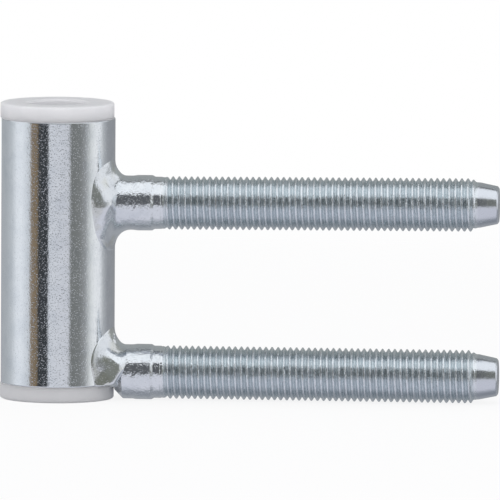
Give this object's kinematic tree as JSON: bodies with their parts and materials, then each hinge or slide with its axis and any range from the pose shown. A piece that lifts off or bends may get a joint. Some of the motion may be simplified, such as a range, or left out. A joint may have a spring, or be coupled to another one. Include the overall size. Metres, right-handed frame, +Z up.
{
  "type": "door hinge frame part",
  "caption": "Frame part of a drill-in door hinge: a round steel barrel with plastic bushes in its ends, welded to threaded studs that screw into the door frame.",
  "frame": {"origin": "on the barrel's axis, half-way along the barrel", "axes": "+Z up along the barrel, +X along the studs into the door frame, +Y away from the viewer"},
  "size_m": [0.0657, 0.015, 0.0392],
  "materials": {
    "zinc_plated_steel": "bright zinc plate, smooth on the barrel, finely lined on the threads",
    "white_nylon": "translucent white moulded nylon, satin"
  },
  "bodies": {
    "root": {"barrel": "zinc_plated_steel", "upper_bush": "white_nylon", "lower_bush": "white_nylon", "upper_stud": "zinc_plated_steel", "lower_stud": "zinc_plated_steel", "upper_weld": "zinc_plated_steel", "lower_weld": "zinc_plated_steel"}
  },
  "joints": []
}
